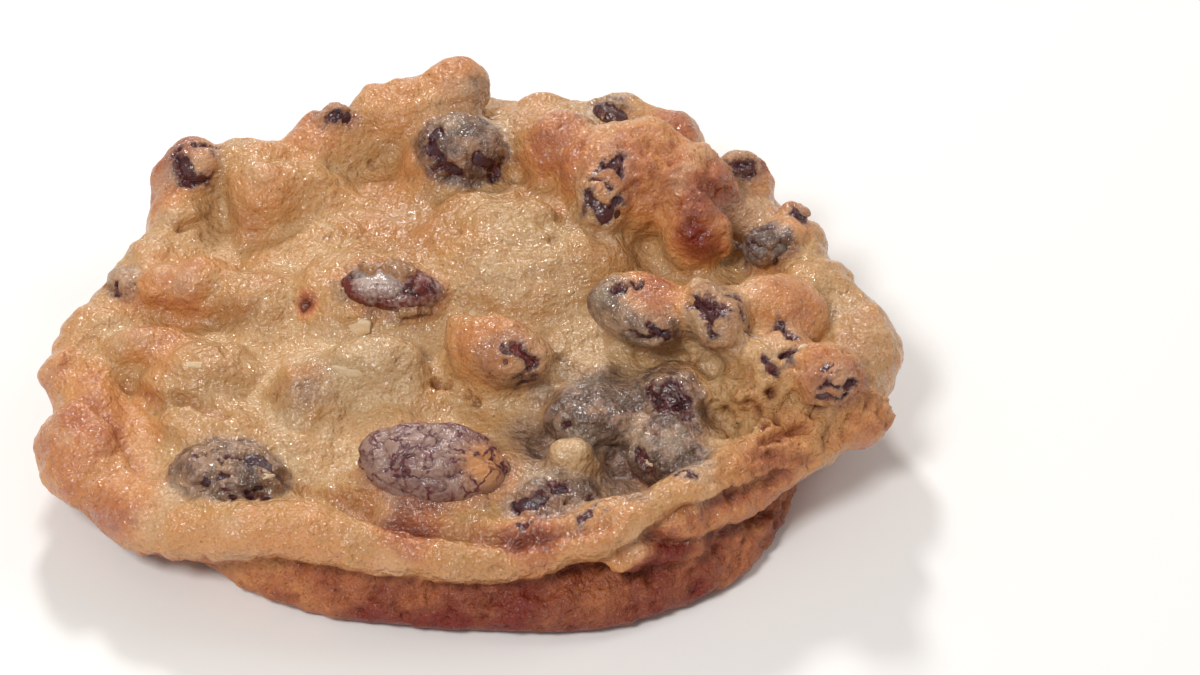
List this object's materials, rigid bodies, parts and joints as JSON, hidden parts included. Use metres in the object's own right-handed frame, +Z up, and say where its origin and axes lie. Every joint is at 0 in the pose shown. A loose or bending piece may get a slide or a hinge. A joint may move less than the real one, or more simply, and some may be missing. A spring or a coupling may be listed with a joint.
{
  "type": "oatmeal raisin cookie",
  "caption": "Thick, lumpy oatmeal raisin cookie with a rolled lip over a browned flat base and plump raisins set in its crust.",
  "frame": {"origin": "middle of the whole cookie's outline in plan, on the flat base that it rests on", "axes": "+X along the long side, towards the overhanging corner; -Y towards the front, where the lip rolls over the browned base; +Z up"},
  "size_m": [0.0838, 0.0693, 0.0218],
  "materials": {
    "baked_dough": "golden baked oat dough, orange-brown on the peaks and the lip, with a soft moist sheen",
    "raisin_skin": "dark purple-brown wrinkled raisin skin, moist"
  },
  "bodies": {
    "root": {"dough": "baked_dough", "raisin_bare": "raisin_skin", "raisin_big": "raisin_skin", "raisin_front_left": "raisin_skin", "raisin_middle": "raisin_skin", "raisin_crown": "raisin_skin", "raisin_back": "raisin_skin", "raisin_ridge_left": "raisin_skin", "raisin_ridge_middle": "raisin_skin", "raisin_ridge_right": "raisin_skin", "raisin_ridge_foot": "raisin_skin", "raisin_corner": "raisin_skin", "raisin_front": "raisin_skin", "raisin_pale": "raisin_skin", "raisin_button": "raisin_skin", "raisin_knob": "raisin_skin", "raisin_bench": "raisin_skin", "raisin_left_corner": "raisin_skin", "raisin_notch": "raisin_skin", "raisin_left_bank": "raisin_skin", "raisin_hollow": "raisin_skin", "raisin_hollow_right": "raisin_skin"}
  },
  "joints": []
}
